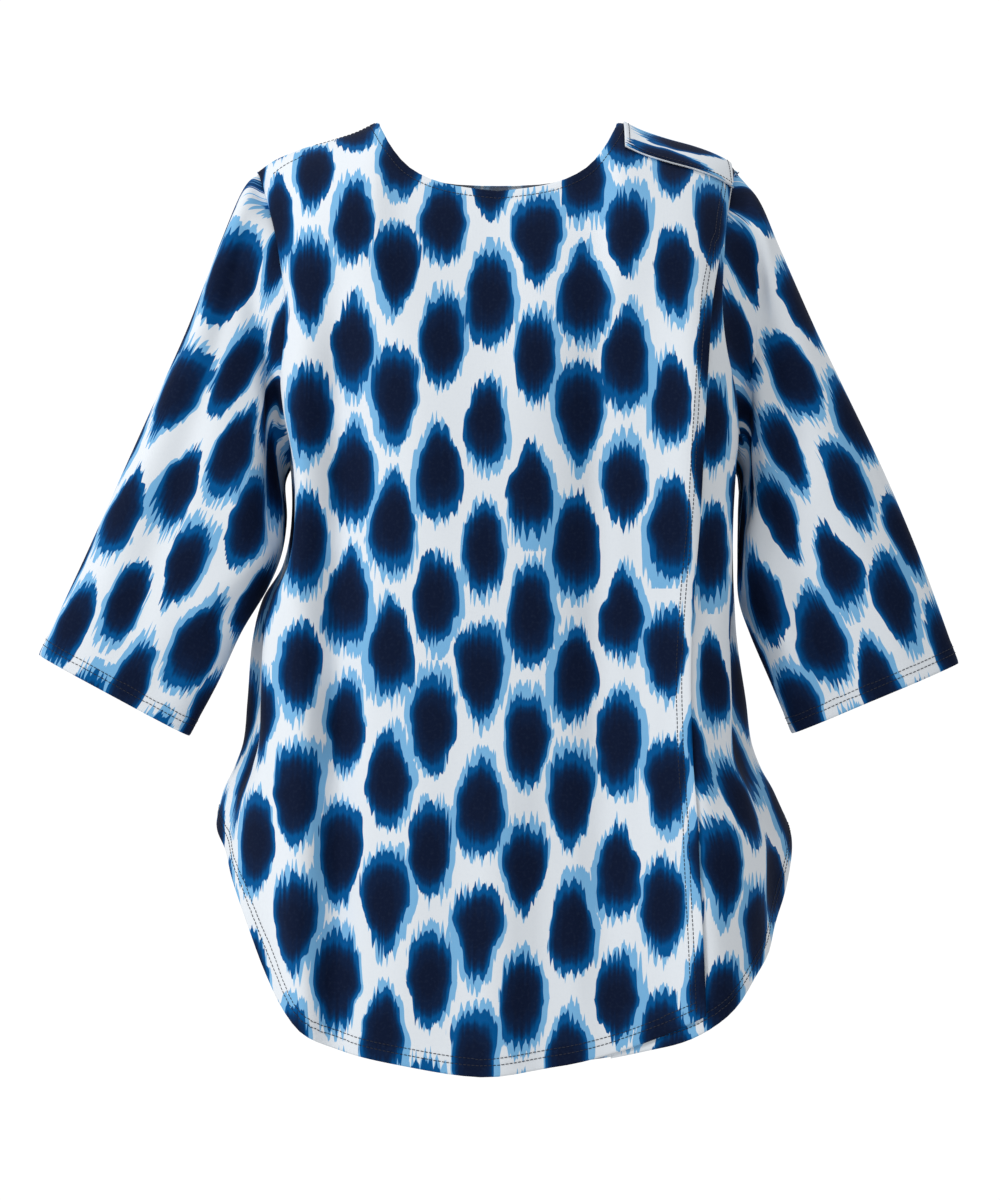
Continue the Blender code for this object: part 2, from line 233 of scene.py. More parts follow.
# Long soft folds down the body: a ridge stands out of it and a valley runs into it
FOLDS = (
    # degrees at the top and bottom, width, height, from z, full at z, full to z, to z
    (-57.0, -50.0, 8.0, 0.015, -0.11, -0.22, -0.4, -0.6),
    (-74.0, -66.0, 6.5, -0.009, -0.26, -0.33, -0.4, -0.64),
    (-38.0, -34.0, 8.0, -0.005, -0.06, -0.2, -0.6, -0.76),
    (65.0, 61.0, 8.0, 0.011, -0.12, -0.23, -0.33, -0.48),
    (74.0, 64.0, 6.5, -0.01, -0.3, -0.39, -0.56, -0.64),
    (44.0, 40.0, 8.0, 0.005, -0.06, -0.2, -0.6, -0.76),
    (128.0, 124.0, 12.0, 0.006, -0.16, -0.3, -0.64, -0.76),
    (160.0, 158.0, 12.0, -0.005, -0.16, -0.3, -0.64, -0.76),
    (205.0, 206.0, 13.0, 0.006, -0.16, -0.3, -0.64, -0.76),
    (236.0, 240.0, 10.0, -0.005, -0.16, -0.3, -0.6, -0.7),
)

# Sleeves, from the shoulder to the cuff: the outer and the inner line as seen from the front
RIGHT_SLEEVE = (
    # outer x, outer z, inner x, inner z, depth, middle y
    (-0.1965, -0.033, -0.1648, -0.262, 0.112, -0.004),
    (-0.215, -0.08, -0.1628, -0.29, 0.104, -0.02),
    (-0.237, -0.142, -0.166, -0.317, 0.094, -0.038),
    (-0.2605, -0.196, -0.1765, -0.343, 0.086, -0.044),
    (-0.2862, -0.254, -0.196, -0.376, 0.076, -0.048),
    (-0.3155, -0.32, -0.214, -0.415, 0.064, -0.051),
    (-0.3496, -0.3925, -0.2352, -0.4543, 0.046, -0.052),
)
LEFT_SLEEVE = (
    # outer x, outer z, inner x, inner z, depth, middle y
    (0.2005, -0.04, 0.187, -0.262, 0.112, -0.002),
    (0.217, -0.08, 0.1855, -0.29, 0.104, -0.014),
    (0.243, -0.142, 0.184, -0.32, 0.094, -0.028),
    (0.268, -0.196, 0.1842, -0.35, 0.086, -0.037),
    (0.295, -0.254, 0.1925, -0.377, 0.076, -0.043),
    (0.3225, -0.32, 0.209, -0.416, 0.064, -0.046),
    (0.3512, -0.399, 0.2243, -0.4527, 0.046, -0.048),
)

SLEEVE_LEAN = 0.425  # how far a sleeve leans out for each metre down
SLEEVE_FLATNESS = 0.6  # the depth of a sleeve as it was printed, as a share of its depth as worn
SLEEVE_FULLNESS = 1.25  # the cloth round a sleeve, with what its folds take up

# The flap over the wearer's left shoulder, from the neck to the sleeve
FLAP_NEAR = 0.0965
FLAP_FAR = 0.1790
FLAP_FRONT = (0.0238, 0.0215)
FLAP_BACK = 0.0025
FLAP_SEWN = ("bottom", "left", "right")  # its topstitched edges

# Soft creases in front, seen from the front: a ridge stands out and a trough lies in
FRONT_CREASES = (
    # from x, z, to x, z, bow, width, height
    (-0.145, -0.06, -0.149, -0.73, 0.003, 0.0125, 0.005),
    (-0.119, -0.07, -0.123, -0.73, -0.003, 0.0125, -0.008),
    (-0.07, -0.04, -0.052, -0.3, 0.006, 0.018, 0.0016),
    (-0.02, -0.06, -0.03, -0.33, -0.006, 0.02, -0.0013),
    (0.036, -0.09, 0.03, -0.42, 0.006, 0.018, 0.0014),
    (0.074, -0.03, 0.079, -0.72, 0.003, 0.016, -0.006),
    (0.169, -0.02, 0.171, -0.78, 0.002, 0.045, 0.033),
    (-0.143, -0.34, -0.145, -0.86, 0.000, 0.015, 0.012),
    (0.112, -0.18, 0.116, -0.64, -0.002, 0.011, 0.0014),
    (-0.06, -0.4, -0.08, -0.69, -0.008, 0.018, 0.0022),
    (0.003, -0.44, -0.004, -0.79, 0.002, 0.016, 0.0042),
    (0.039, -0.45, 0.036, -0.79, 0.002, 0.015, -0.0048),
    (0.163, -0.38, 0.178, -0.64, 0.004, 0.01, -0.005),
    (0.186, -0.44, 0.206, -0.61, 0.002, 0.01, 0.0035),
    (-0.165, -0.44, -0.152, -0.64, 0.003, 0.01, 0.005),
    (-0.19, -0.42, -0.187, -0.58, 0.002, 0.009, -0.005),
)
BACK_CREASES = (
    # from x, z, to x, z, bow, width, height
    (-0.12, -0.06, -0.07, -0.2, 0.006, 0.014, 0.0024),
    (0.125, -0.07, 0.08, -0.23, -0.006, 0.015, 0.0024),
    (-0.145, -0.12, -0.11, -0.3, 0.004, 0.011, -0.0028),
    (0.15, -0.13, 0.118, -0.33, -0.004, 0.011, -0.0026),
    (-0.05, -0.18, -0.06, -0.52, 0.008, 0.018, -0.0022),
    (0.02, -0.12, 0.03, -0.42, -0.006, 0.02, 0.0016),
    (0.07, -0.3, 0.082, -0.69, 0.008, 0.017, -0.0026),
    (-0.105, -0.36, -0.112, -0.69, -0.006, 0.016, 0.0026),
    (-0.015, -0.43, -0.01, -0.7, 0.006, 0.018, -0.002),
    (0.13, -0.38, 0.15, -0.64, 0.003, 0.013, 0.0026),
    (-0.15, -0.35, -0.165, -0.6, -0.003, 0.012, -0.0024),
)

# Creases of a sleeve: the share round it (0 is the outer line, a quarter the front, a half the
# inner line) and the share of the way from the cuff up to the shoulder
RIGHT_SLEEVE_CREASES = (
    # from share, way, to share, way, bow, width, height
    (0.31, 0.98, 0.4, 0.52, 0.01, 0.032, -0.0044),
    (0.23, 1.00, 0.31, 0.36, -0.01, 0.034, 0.0036),
    (0.15, 0.96, 0.25, 0.00, 0.012, 0.032, -0.0046),
    (0.09, 0.94, 0.16, 0.1, 0.01, 0.03, 0.0024),
    (0.42, 0.62, 0.32, 0.16, 0.012, 0.03, 0.0034),
    (0.4, 0.36, 0.3, 0.02, 0.01, 0.03, -0.0024),
    (0.7, 0.96, 0.62, 0.55, 0.01, 0.034, -0.0036),
    (0.8, 0.92, 0.74, 0.4, -0.01, 0.036, 0.0032),
    (0.6, 0.66, 0.7, 0.28, 0.012, 0.03, 0.0032),
    (0.66, 0.38, 0.78, 0.06, 0.01, 0.034, -0.0024),
    (0.9, 0.7, 0.88, 0.2, 0.008, 0.03, -0.0018),
)
LEFT_SLEEVE_CREASES = (
    # from share, way, to share, way, bow, width, height
    (0.335, 0.97, 0.37, 0.56, -0.012, 0.026, -0.005),
    (0.255, 0.98, 0.29, 0.52, 0.01, 0.026, 0.005),
    (0.18, 0.92, 0.22, 0.4, -0.008, 0.028, -0.0032),
    (0.38, 0.7, 0.35, 0.08, 0.01, 0.028, 0.004),
    (0.3, 0.62, 0.29, -0.04, 0.006, 0.03, -0.0046),
    (0.22, 0.54, 0.19, -0.04, 0.006, 0.032, 0.0026),
    (0.12, 0.6, 0.11, 0.06, 0.006, 0.03, -0.0018),
    (0.68, 0.96, 0.63, 0.55, -0.01, 0.034, -0.0034),
    (0.78, 0.9, 0.75, 0.42, 0.01, 0.036, 0.003),
    (0.61, 0.62, 0.72, 0.24, 0.012, 0.03, 0.003),
    (0.9, 0.66, 0.86, 0.16, 0.008, 0.03, -0.002),
)

# Turned edges: how deep the turning is, how much it stands out, and its rows of stitches
HEM = (0.0155, 0.00035, (0.0088, 0.0136))
CUFF = (0.0150, 0.00035, (0.0085, 0.0132))
NECK_EDGE = (0.0085, 0.00040, (0.0072,))
LAP_EDGE = (0.0135, 0.00030, (0.0078, 0.0124))
FLAP_EDGE = (0.0045, 0.00015, (0.0038,))
SHOULDER_EDGE = (0.0395, 0.00025, (0.0375,))
TURN_FADE = (0.97, 1.05)  # shares of a turning's depth between which its band ends
TURN_LIP = 0.0016  # how far in from the fold the band has its full height
GROOVE = 0.00028
GROOVE_WIDTH = 0.0011

# Stitches
STITCH = 0.0026
STITCH_GAP = 0.0006
THREAD = 0.00034
THREAD_SIDES = 5
STITCH_BOW = 1.2  # how far a stitch bows out, and how deep its ends lie, by the thread
STITCH_SINK = 0.6
THREAD_RINGS = ((0.0, 0.35), (0.12, 0.85), (0.5, 1.0), (0.88, 0.85), (1.0, 0.35))


def ramp(start, end, at):
    """0 before start and 1 after end, smooth between them."""
    u = np.clip((at - start) / (end - start), 0.0, 1.0)
    return u * u * (3 - 2 * u)


def along(table, at, column=1):
    """A smooth curve through a table's rows, read at values of its first column."""
    rows = np.array(table, dtype=float)
    if rows[0, 0] > rows[-1, 0]:
        rows = rows[::-1]
    xs, ys = rows[:, 0], rows[:, column]
    before = np.maximum(np.arange(len(xs)) - 1, 0)
    after = np.minimum(np.arange(len(xs)) + 1, len(xs) - 1)
    slopes = (ys[after] - ys[before]) / (xs[after] - xs[before])
    at = np.clip(at, xs[0], xs[-1])
    i = np.clip(np.searchsorted(xs, at), 1, len(xs) - 1)
    span = xs[i] - xs[i - 1]
    u = (at - xs[i - 1]) / span
    return (
        ys[i - 1] * (1 + 2 * u) * (1 - u) ** 2
        + slopes[i - 1] * span * u * (1 - u) ** 2
        + ys[i] * u * u * (3 - 2 * u)
        - slopes[i] * span * u * u * (1 - u)
    )


def creases(table, a, b):
    """How far the table's creases move the cloth out at the places (a, b)."""
    rise = np.zeros(np.shape(a))
    for a0, b0, a1, b1, bow, width, height in table:
        length = math.hypot(a1 - a0, b1 - b0)
        da, db = (a1 - a0) / length, (b1 - b0) / length
        way = ((a - a0) * da + (b - b0) * db) / length
        across = (a - a0) * db - (b - b0) * da - 4 * bow * way * (1 - way)
        ends = ramp(*CREASE_START, way) * (1 - ramp(*CREASE_END, way))
        rise += height * ends * np.exp(-((across / width) ** 2))
    return rise


def folds(degrees, z):
    """How far the long folds move the cloth out at angles and heights."""
    rise = np.zeros(np.broadcast(degrees, z).shape)
    for top, bottom, width, height, begins, full, holds, ends in FOLDS:
        share = 1 - ramp(ends, begins, z)
        middle = top + (bottom - top) * share
        strength = (1 - ramp(full, begins, z)) * ramp(ends, holds, z)
        rise = rise + height * strength * np.exp(-(((degrees - middle) / width) ** 2))
    return rise


def body(degrees, z, rounded=True):
    """Points of the cloth round the body, with or without its rounding over the shoulders."""
    turn = np.radians(degrees)
    s, c = np.sin(turn), np.cos(turn)
    half = np.where(s > 0, along(BODY, z, 2), along(BODY, z, 1))
    depth = np.where(c > 0, along(BODY, z, 3), along(BODY, z, 4))
    x = half * s * (1 + SQUARE * c * c)
    y = -depth * c * (1 + SQUARE * s * s)
    out = np.stack((s / half, -c / depth))
    out = out / np.linalg.norm(out, axis=0)
    move = folds((degrees + 90.0) % 360.0 - 90.0, z)
    if not rounded:
        return np.stack((x + move * out[0], y + move * out[1], z + 0 * x), axis=-1)
    drop = along(SHOULDER, np.abs(x)) - z
    u = np.clip(drop / along(ROUNDING, np.abs(x)), 0.0, 1.0)
    share = np.sqrt(1 - (1 - u) ** 2)
    seam = RIDGE_Y * (1 - share)
    return np.stack((x + move * out[0], seam + (y + move * out[1]) * share, z + 0 * x), axis=-1)


def lifted(degrees, z, rise=0.0, front=True):
    """Points of the cloth round the body with its creases, moved out by rise."""
    near = z - NEAR
    across = body(degrees + NEAR_DEGREES, near) - body(degrees - NEAR_DEGREES, near)
    up = body(degrees, near + NEAR_UP) - body(degrees, near - NEAR_UP)
    out = np.cross(across, up)
    out = out / np.linalg.norm(out, axis=-1, keepdims=True)
    place = body(degrees, z)
    table = FRONT_CREASES if front else BACK_CREASES
    fade = 1 - ramp(*CREASE_FADE, np.abs(np.sin(np.radians(degrees))))
    move = creases(table, place[..., 0], place[..., 2]) * fade
    forward = np.array((0.0, -1.0 if front else 1.0, 0.0))
    return place + forward * move[..., None] + out * np.asarray(rise)[..., None]


def angle_at(x, z):
    """The angles in front at which the body is at x."""
    low = np.full(np.broadcast(x, z).shape, -90.0)
    high = -low
    for _ in range(HALVINGS):
        middle = (low + high) / 2
        inside = body(middle, z)[..., 0] < x
        low = np.where(inside, middle, low)
        high = np.where(inside, high, middle)
    return (low + high) / 2


def armhole(share, side, front):
    """(angles, z) on an armhole's edge: share 0 is the underarm, and 1 the shoulder."""
    turn = math.pi * (1 - share)
    z = (SHOULDER_Z + UNDERARM_Z) / 2 + (SHOULDER_Z - UNDERARM_Z) / 2 * np.cos(turn)
    reach_front = ARM_FRONT_LEFT if side > 0 else ARM_FRONT_RIGHT
    reach = np.where(front, -reach_front, ARM_BACK)
    return (90.0 + reach * np.sin(turn)) * side, z


def split(t):
    """(share of the way from hem to underarm, share of the way from underarm to shoulder)."""
    return np.clip(2 * t, 0.0, 1.0), np.clip(2 * t - 1, 0.0, 1.0)


def level_of(t, hem_z):
    """The height of a row by the armholes or, lower down, above a hem at hem_z."""
    low, high = split(t)
    return np.where(high > 0, armhole(high, 1, True)[1], hem_z + (UNDERARM_Z - hem_z) * low)


def top_of(degrees, front):
    """The height of the neckline or the shoulder seam at an angle."""
    turn = np.radians(degrees)
    s, c = np.sin(turn), np.cos(turn)
    x = np.abs(along(BODY, SHOULDER_Z, 1) * s * (1 + SQUARE * c * c))
    return np.where(x < NECK_X, along(NECKLINE, x, 1 if front else 2), along(SHOULDER, x))


NECK_ANGLE = float(angle_at(NECK_X, SHOULDER_Z))


def column(s, first, last, middle):
    """The angle of column s from first to last: two columns stay below the neck points."""
    share = SHOULDER_SHARE
    start = first + (middle - NECK_ANGLE - first) * s / share
    end = last + (middle + NECK_ANGLE - last) * (1 - s) / share
    inner = middle - NECK_ANGLE * np.cos(math.pi * (s - share) / (1 - 2 * share))
    return np.where(s < share, start, np.where(s > 1 - share, end, inner))


def height(degrees, t, hem, top, front):
    """The height of a row at an angle, in a column whose upper end is at the angle top."""
    low, high = split(t)
    bottom = along(hem, degrees)
    stretch = (top_of(top, front) - UNDERARM_Z) / (SHOULDER_Z - UNDERARM_Z)
    upper = UNDERARM_Z + (armhole(high, 1, front)[1] - UNDERARM_Z) * stretch
    return np.where(high > 0, upper, bottom + (UNDERARM_Z - bottom) * low)


def free_edge(t):
    """The angle of the front's free edge on each row."""
    high = split(t)[1]
    level = level_of(t, along(FRONT_HEM, FREE_EDGE_HEM))
    degrees, z = armhole(high, 1, True)
    by_armhole = angle_at(body(degrees, z)[..., 0] - EDGE_MARGIN, z)
    return np.where(level > FREE_EDGE[0][0], by_armhole, angle_at(along(FREE_EDGE, level), level))


def front_panel(s, t):
    """From the wearer's right side seam to the free edge."""
    high = split(t)[1]
    first = armhole(high, -1, True)[0]
    edge = free_edge(t[:, :1])
    degrees = column(s, first, edge, 0.0)
    top = column(s, -90.0, edge[-1, 0], 0.0)
    return lifted(degrees, height(degrees, t, FRONT_HEM, top, True)), degrees


def edge_drop(high):
    """How far the underlap's outer edge lies in, at a share of the armhole."""
    return EDGE_DROP * ramp(0.0, EDGE_DROP_FULL, high)


def lap_edge(level):
    """The angle of the underlap's hidden edge at a height."""
    lap = LAP_TOP + (LAP_HEM - LAP_TOP) * level / FREE_EDGE[-1][0]
    return angle_at(along(FREE_EDGE, level) - lap, level)


def underlap_panel(s, t):
    """From under the front's free edge to the wearer's left side seam."""
    high = split(t)[1]
    first = lap_edge(level_of(t[:, :1], along(UNDERLAP_HEM, FREE_EDGE_HEM)))
    degrees = first + (armhole(high, 1, True)[0] - first) * s
    top = first[-1, 0] + (90.0 - first[-1, 0]) * s
    drop = LAP_DROP + (edge_drop(high) - LAP_DROP) * ramp(DROP_CHANGE, 1.0, s)
    return lifted(degrees, height(degrees, t, UNDERLAP_HEM, top, True), -drop), degrees


def back_panel(s, t):
    """From the wearer's left side seam round the back to the right one."""
    first = armhole(split(t)[1], 1, False)[0]
    degrees = column(s, first, 360.0 - first, 180.0)
    top = column(s, 90.0, 270.0, 180.0)
    z = height(degrees, t, BACK_HEM, top, False)
    return lifted(degrees, z, 0.0, front=False), degrees


def sleeve_head(share, side):
    """Points just under the armhole's edge, with the shares of sleeve_ring."""
    front = share <= 0.5
    way = np.abs(1 - 2 * share)
    degrees, z = armhole(way, side, front)
    drop = TUCK + (TUCK_TOP - TUCK) * ramp(TUCK_FADE, 1.0, way)
    if side > 0:
        drop = drop + edge_drop(way) * front
    before = lifted(degrees, z, -drop, True)
    behind = lifted(degrees, z, -drop, False)
    return np.where(front[..., None], before, behind)


def sleeve_ring(row, share):
    """Points of a sleeve's ring: share 0 is its outer line, 0.25 its front."""
    outer_x, outer_z, inner_x, inner_z, depth, middle_y = row
    turn = 2 * math.pi * share
    c, s = np.cos(turn), np.sin(turn)
    across = c * (1 + SQUARE * s * s) / 2
    x = (outer_x + inner_x) / 2 + (outer_x - inner_x) * across
    y = middle_y - depth / 2 * s * (1 + SQUARE * c * c)
    z = (outer_z + inner_z) / 2 + (outer_z - inner_z) * across
    return np.stack((x, y, z), axis=-1)


def sleeve(rows, side, table):
    """A function that places a sleeve's points: s runs round from the inner line and back to it."""

    def place(s, t):
        share = (0.5 - s * side) % 1.0
        ring = share[0]
        points = np.stack([sleeve_head(ring, side)] + [sleeve_ring(row, ring) for row in rows])
        count = len(points)
        slopes = np.gradient(points, axis=0)
        way = (1 - t) * (count - 1)
        i = np.clip(np.ceil(way).astype(int), 1, count - 1)
        u = (way - (i - 1))[..., None]
        k = np.broadcast_to(np.arange(s.shape[1]), s.shape)
        plain = (
            points[i - 1, k] * (1 + 2 * u) * (1 - u) ** 2
            + slopes[i - 1, k] * u * (1 - u) ** 2
            + points[i, k] * u * u * (3 - 2 * u)
            - slopes[i, k] * u * u * (1 - u)
        )
        fade = ramp(*SLEEVE_CREASES_TOP, t) * ramp(*SLEEVE_CREASES_CUFF, t)
        rise = creases(table, share, t) * fade
        return plain + normals(plain) * rise[..., None], share

    return place


def flap(s, t):
    """Over the wearer's left shoulder: t 0 is its edge in front, and 1 its root behind."""
    x = FLAP_NEAR + (FLAP_FAR - FLAP_NEAR) * s
    rounding = along(ROUNDING, x)
    front_drop = FLAP_FRONT[0] + (FLAP_FRONT[1] - FLAP_FRONT[0]) * s
    first = np.arccos(1 - front_drop / rounding)
    last = -np.arccos(1 - FLAP_BACK / rounding)
    turn = first + (last - first) * t
    z = along(SHOULDER, x) - rounding * (1 - np.cos(turn))
    degrees = angle_at(x, z)
    degrees = np.where(turn < 0, 180.0 - degrees, degrees)
    return lifted(degrees, z, FLAP_RISE), degrees


def normals(points):
    """The outward direction at each point of a grid, s across and t up."""
    across = np.gradient(points, axis=1)
    up = np.gradient(points, axis=0)
    out = np.cross(across, up)
    return out / np.maximum(np.linalg.norm(out, axis=-1, keepdims=True), 1e-12)


def crowded(count):
    """count steps from 0 to 1, closer together at both ends."""
    u = np.linspace(0.0, 1.0, count + 1)
    return u - CROWD * np.sin(2 * math.pi * u) / (2 * math.pi)


def lengths(points, axis):
    """The way along each row or column of a grid, from its start."""
    steps = np.linalg.norm(np.diff(points, axis=axis), axis=-1)
    pad = [(0, 0), (0, 0)]
    pad[axis] = (1, 0)
    return np.cumsum(np.pad(steps, pad), axis=axis)


def distance_to(points, line):
    """How far each point of a grid is from a line of points."""
    nearest = np.full(points.shape[:2], np.inf)
    for a, b in zip(line[:-1], line[1:]):
        way = b - a
        u = np.clip(((points - a) @ way) / max(way @ way, 1e-12), 0.0, 1.0)
        gap = np.linalg.norm(points - a - u[..., None] * way, axis=-1)
        nearest = np.minimum(nearest, gap)
    return nearest


class Sheet:
    """A piece of cloth on a grid, with the lines of its edges."""

    def __init__(self, name, place, s, t, closed=False):
        self.name = name
        self.closed = closed
        self.s, self.t = np.meshgrid(s, t)
        self.points, self.across = place(self.s, self.t)
        self.plain = self.points.copy()
        self.out = normals(self.points)
        if closed:
            seam = self.out[:, 0] + self.out[:, -1]
            seam /= np.linalg.norm(seam, axis=-1, keepdims=True)
            self.out[:, 0] = self.out[:, -1] = seam

    def edge(self, side):
        """The points of an edge, with the cloth on the left of the way along it."""
        return {
            "bottom": self.plain[0],
            "right": self.plain[:, -1],
            "top": self.plain[-1, ::-1],
            "left": self.plain[::-1, 0],
        }[side]

    def turned(self, line, finish):
        """Turns an edge over: a slightly raised band with a groove at each row of stitches."""
        depth, rise, rows = finish
        far = distance_to(self.plain, line)
        start, end = (depth * share for share in TURN_FADE)
        move = rise * (1 - ramp(start, end, far)) - rise * (1 - ramp(0, TURN_LIP, far))
        for row in rows:
            move = move - GROOVE * np.exp(-(((far - row) / GROOVE_WIDTH) ** 2))
        self.points = self.points + self.out * move[..., None]

    def drawn_in(self, line):
        """Draws the cloth in along a seam, less so at the shoulder's corner."""
        far = distance_to(self.plain, line)
        move = -SINK * np.exp(-((far / SINK_WIDTH) ** 2)) * ramp(*SINK_ENDS, self.t)
        self.points = self.points + self.out * move[..., None]

    def build(self, uv, thickness, finish, inner, rim=0):
        """Makes the piece, with its printed face out."""
        rows, columns = self.points.shape[:2]
        used = columns - 1 if self.closed else columns
        index = np.arange(rows * used).reshape(rows, used)
        if self.closed:
            index = np.hstack((index, index[:, :1]))
        grid = np.arange(rows * columns).reshape(rows, columns)
        corners = [(slice(0, -1), slice(0, -1)), (slice(0, -1), slice(1, None))]
        corners += [(slice(1, None), slice(1, None)), (slice(1, None), slice(0, -1))]
        faces = np.stack([index[a, b] for a, b in corners], axis=-1).reshape(-1, 4)
        places = np.stack([grid[a, b] for a, b in corners], axis=-1).reshape(-1)
        mesh = bpy.data.meshes.new(self.name)
        mesh.from_pydata(self.points[:, :used].reshape(-1, 3), [], faces.tolist())
        layer = mesh.uv_layers.new(name="cloth")
        layer.data.foreach_set("uv", uv.reshape(-1, 2)[places].astype(np.float32).ravel())
        mesh.materials.append(finish)
        mesh.materials.append(inner)
        mesh.shade_smooth()
        made = added(self.name, mesh)
        solid = made.modifiers.new("Thickness", "SOLIDIFY")
        solid.thickness = thickness
        solid.offset = -1.0
        solid.use_rim = True
        solid.material_offset = 1
        solid.material_offset_rim = rim
        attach(made, "root")
        self.tree = BVHTree.FromPolygons(
            [Vector(p) for p in self.points[:, :used].reshape(-1, 3)], faces.tolist()
        )
        return made

    def inset(self, line, distance, start=0.0, end=1.0):
        """A line on the cloth beside an edge, at a distance from it: points and directions."""
        line = resampled(line, LINE_STEP)
        count = len(line)
        line = line[int(start * (count - 1)) : int(end * (count - 1)) + 1]
        way = np.gradient(line, axis=0)
        way /= np.linalg.norm(way, axis=1, keepdims=True)
        found = []
        for point, step in zip(line, way):
            place, out, _, _ = self.tree.find_nearest(Vector(point))
            inward = out.cross(Vector(step)).normalized()
            place, out, _, _ = self.tree.find_nearest(Vector(point) + inward * distance)
            found.append((*place, *out))
        found = np.array(found)
        return found[:, :3], found[:, 3:]


def added(name, data):
    """A new object in the scene."""
    made = bpy.data.objects.new(name, data)
    bpy.context.scene.collection.objects.link(made)
    return made


def resampled(line, step):
    """The same line with points a step apart."""
    line = np.asarray(line)
    way = np.concatenate(([0.0], np.cumsum(np.linalg.norm(np.diff(line, axis=0), axis=1))))
    at = np.linspace(0.0, way[-1], max(2, round(way[-1] / step)))
    return np.stack([np.interp(at, way, line[:, k]) for k in range(3)], axis=-1)


def sew(name, lines, finish):
    """Rows of stitches as one piece: each stitch is a short rounded length of thread."""
    points, faces = [], []
    for line, outs in lines:
        way = np.concatenate(([0.0], np.cumsum(np.linalg.norm(np.diff(line, axis=0), axis=1))))
        start = STITCH_GAP
        while start + STITCH < way[-1]:
            ends = [
                np.array([np.interp(start + k * STITCH, way, line[:, axis]) for axis in range(3)])
                for k in (0, 1)
            ]
            middle = start + STITCH / 2
            out = np.array([np.interp(middle, way, outs[:, axis]) for axis in range(3)])
            step = ends[1] - ends[0]
            if np.linalg.norm(step) > STITCH / 2:
                add_stitch(points, faces, ends[0], step, out / np.linalg.norm(out))
            start += STITCH + STITCH_GAP
    mesh = bpy.data.meshes.new(name)
    mesh.from_pydata(points, [], faces)
    mesh.materials.append(finish)
    mesh.shade_smooth()
    made = added(name, mesh)
    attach(made, "root")
    return made


def add_stitch(points, faces, start, step, out):
    """Adds one stitch, bowed out of the cloth in its middle."""
    first = len(points)
    side = np.cross(step, out)
    side /= np.linalg.norm(side)
    for share, size in THREAD_RINGS:
        middle = start + step * share + out * THREAD * (size * STITCH_BOW - STITCH_SINK)
        for k in range(THREAD_SIDES):
            turn = 2 * math.pi * k / THREAD_SIDES
            ring = (side * math.cos(turn) + out * math.sin(turn)) * THREAD * size
            points.append(tuple(middle + ring))
    for ring in range(len(THREAD_RINGS) - 1):
        for k in range(THREAD_SIDES):
            a, b = first + ring * THREAD_SIDES, first + (ring + 1) * THREAD_SIDES
            after = (k + 1) % THREAD_SIDES
            faces.append((a + k, a + after, b + after, b + k))
    faces.append(tuple(first + k for k in reversed(range(THREAD_SIDES))))
    last = first + (len(THREAD_RINGS) - 1) * THREAD_SIDES
    faces.append(tuple(last + k for k in range(THREAD_SIDES)))


# Print: columns of spots with soft dark middles and ragged ends, each column half a step lower
# than the one beside it, in metres on the flat cloth
PITCH = 0.0348
PERIOD = 0.0954
SPOT_HALF_WIDTH = 0.0172
SPOT_HALF_HEIGHT = 0.0366
HALO_GROWTH = 0.0025
SPOT_MOVE = (0.0024, 0.0040)
HALO_MOVE = (0.0064, 0.0100)
POINTING = 0.48
FLAME_PITCH = 0.0054
FLAME_HEIGHT = 0.0092
HALO_FLAME_HEIGHT = 0.0128
SQUARENESS = 2.2  # 2 makes an oval, and more than that flatter sides
STREAKS = 14.0  # how far the ragged ends reach into a spot's dark middle
WOBBLE = 0.0072  # unevenness of the outlines
WOBBLE_SCALE = 38.0
FLAME_NOISE = 2.4  # how many ragged ends one step of their unevenness takes
FLAME_SWING = 4.0
FLAME_SPREAD = 2.3
FLAME_LEAST = 0.35
SMALL_PITCH = 0.43  # small ragged ends, as shares of the large ones
SMALL_SWING = 5.0
SMALL_HEIGHT = 0.26
LEAST_SIZE = 0.93  # a spot's size runs from here up by SIZE_SPREAD
SIZE_SPREAD = 0.14
HALO_TALLER = 2.2  # how much more the halo grows up and down than sideways
FLAME_REACH = 0.35  # the share of the ragged ends that lies outside a spot's oval
MIDDLE_SHRINK = 1.05
EDGE = (1.012, 0.988)  # each colour's fade, from the outside of a spot to its inside
INSIDE = (1.0, 0.94)
DEEP_FADE = (0.93, 0.79)
NAVY_FADE = (0.84, 0.63)
CORE_FADE = (0.62, 0.35)

# The knit, in metres, and its finish
RIB_PITCH = 0.0011
LOOP_PITCH = 0.0009
LOOP_BEND = 0.8  # how far the ribs bend the loops
RIB_RELIEF = 0.5
LOOP_RELIEF = 0.3
RELIEF = {"Strength": 0.10, "Distance": 0.0002}
TONE_NOISE = {"Scale": 420.0, "Detail": 2.0}
TONE_SHARE = 0.08
ROUGHNESS = 0.70
ROUGHNESS_SPREAD = 0.12
JERSEY_FINISH = {"Specular IOR Level": 0.05, "Sheen Weight": 0.02, "Sheen Roughness": 0.45}
INNER_PALENESS = 0.55  # how pale the print is on the inside, and on the back's inside
BACK_PALENESS = 0.35
GRAIN_SCALE = 900.0  # a plain finish's faint grain
GRAIN_SHARE = 0.25
GRAIN_SHADE = 0.8

# The stage
FLOOR_HALF = 2.4
FLOOR_Z = -1.2
WORLD_LIGHT = 0.54  # how bright the surroundings light the top, and how bright they look
WORLD_SEEN = 1.05
LIGHTS = (
    # name, place, size, power
    ("key", (-2.4, -1.8, 0.9), 1.0, 46.0),
    ("top", (0.3, 0.2, 2.4), 1.8, 18.0),
)
LIGHT_AIM = (0.0, 0.0, -0.35)
CAMERA_PLACE = (0.0015, -3.1, -0.351)
LENS = 120.0  # with a sensor 36 wide, in millimetres
SENSOR = 36.0

